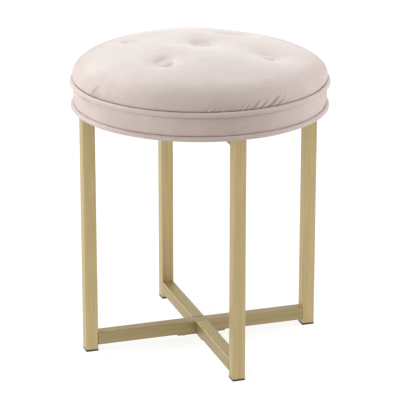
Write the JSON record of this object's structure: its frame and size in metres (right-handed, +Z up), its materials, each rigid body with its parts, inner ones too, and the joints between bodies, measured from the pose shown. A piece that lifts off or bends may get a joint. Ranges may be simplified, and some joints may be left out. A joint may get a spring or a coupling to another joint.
{
  "type": "vanity stool",
  "caption": "Round velvet stool with a button-tufted domed seat, piped boxed band and square-tube legs joined by a crossed stretcher.",
  "frame": {"origin": "on the floor, on the seat's vertical axis", "axes": "+Z up, +X along the unbroken stretcher from left leg to right leg, -Y towards the front leg"},
  "size_m": [0.4, 0.4, 0.4858],
  "materials": {
    "gold_steel": "champagne-gold plated, satin with a fine brushed grain",
    "foot_plastic": "black moulded plastic",
    "zinc_steel": "zinc-plated steel",
    "blush_velvet": "short-pile velvet in pale blush",
    "seat_foam": null,
    "plywood": "bare plywood",
    "black_cloth": "thin black non-woven cloth",
    "waxed_twine": "waxed nylon twine"
  },
  "bodies": {
    "root": {"left_leg": "gold_steel", "right_leg": "gold_steel", "front_leg": "gold_steel", "back_leg": "gold_steel", "main_stretcher": "gold_steel", "front_stretcher": "gold_steel", "back_stretcher": "gold_steel", "main_top_rail": "gold_steel", "front_top_rail": "gold_steel", "back_top_rail": "gold_steel", "lower_cross_plate": "gold_steel", "upper_cross_plate": "gold_steel", "left_foot_pad": "foot_plastic", "right_foot_pad": "foot_plastic", "front_foot_pad": "foot_plastic", "back_foot_pad": "foot_plastic", "cross_plate_screws": "zinc_steel", "threaded_inserts": "zinc_steel", "seat_bolts": "zinc_steel", "seat_bolt_washers": "zinc_steel", "seat_tee_nuts": "zinc_steel", "dust_cover_staples": "zinc_steel", "twine_washers": "zinc_steel", "crown_cover": "blush_velvet", "boxing_band": "blush_velvet", "upper_welt": "blush_velvet", "lower_welt": "blush_velvet", "centre_button": "blush_velvet", "front_left_button": "blush_velvet", "front_right_button": "blush_velvet", "back_left_button": "blush_velvet", "back_right_button": "blush_velvet", "base_foam": "seat_foam", "crown_foam": "seat_foam", "seat_board": "plywood", "dust_cover": "black_cloth", "tufting_twines": "waxed_twine"}
  },
  "joints": []
}
